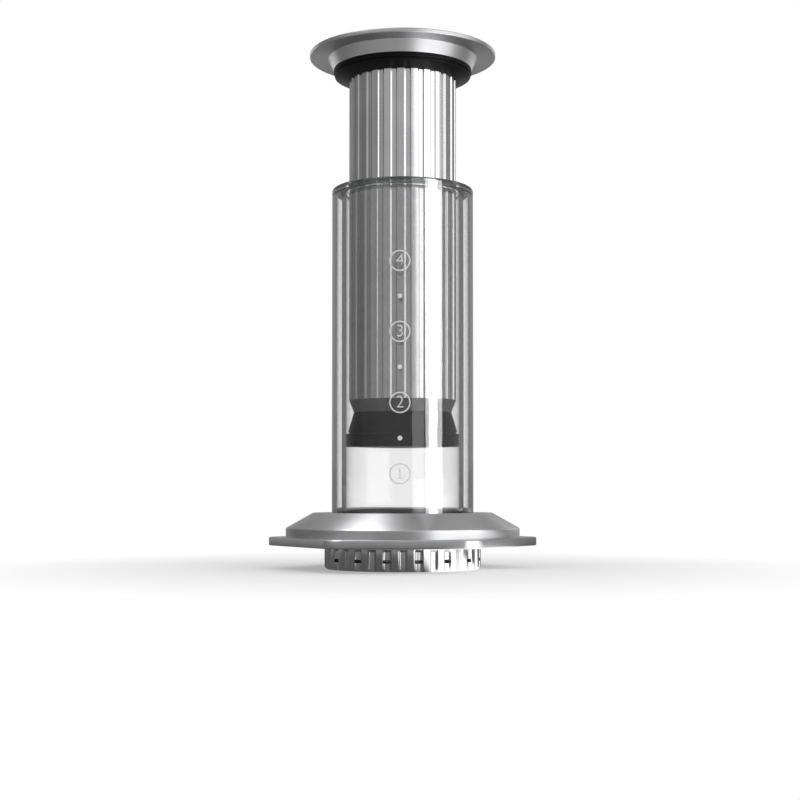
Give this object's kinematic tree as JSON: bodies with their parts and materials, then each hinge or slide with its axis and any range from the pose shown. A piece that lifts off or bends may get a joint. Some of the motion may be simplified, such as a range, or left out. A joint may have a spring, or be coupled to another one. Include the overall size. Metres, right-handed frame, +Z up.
{
  "type": "hand coffee press",
  "caption": "Hand coffee press: a double-walled glass chamber on a hexagonal metal flange, a ribbed metal plunger with a silicone seal, and a fluted twist-on filter cap.",
  "frame": {"origin": "middle of the underside of the filter cap, on the axis of the plunger", "axes": "+Z up along the plunger, the front with the level numbers faces -Y, two corners of the flange point along X"},
  "size_m": [0.1286, 0.1144, 0.2482],
  "materials": {
    "satin_aluminium": "satin",
    "ribbed_aluminium": "polished",
    "cap_steel": "satin",
    "screw_steel": "satin",
    "black_silicone": "matte",
    "seal_rubber": "matte",
    "carrier_grey": "matte",
    "clear_glass": "gloss",
    "filter_paper": "matte",
    "white_print": "matte"
  },
  "bodies": {
    "chamber": {"glass_chamber": "clear_glass", "foot_gasket": "seal_rubber", "collar_gasket": "seal_rubber", "collar_o_ring": "seal_rubber", "flange_collar": "satin_aluminium", "flange_plate": "satin_aluminium", "flange_screws": "screw_steel", "outlet_ring": "carrier_grey", "outlet_gasket": "seal_rubber"},
    "plunger": {"press_plate": "satin_aluminium", "plate_o_ring": "seal_rubber", "bumper_ring": "black_silicone", "plunger_tube": "ribbed_aluminium", "tie_bolt": "screw_steel", "tie_washer": "screw_steel", "seal_carrier": "carrier_grey", "carrier_o_ring": "seal_rubber", "plunger_seal": "black_silicone"},
    "cap": {"filter_cap": "cap_steel", "filter_disc": "filter_paper"}
  },
  "joints": [
    {"name": "plunger_slide", "type": "slide", "parent": "chamber", "child": "plunger", "axis": [0, 0, 1], "range_m": [-0.053, 0.13]},
    {"name": "cap_twist", "type": "hinge", "parent": "chamber", "child": "cap", "pos_m": [0, 0, 0.006], "axis": [0, 0, -1], "range_deg": [0, 36]}
  ]
}
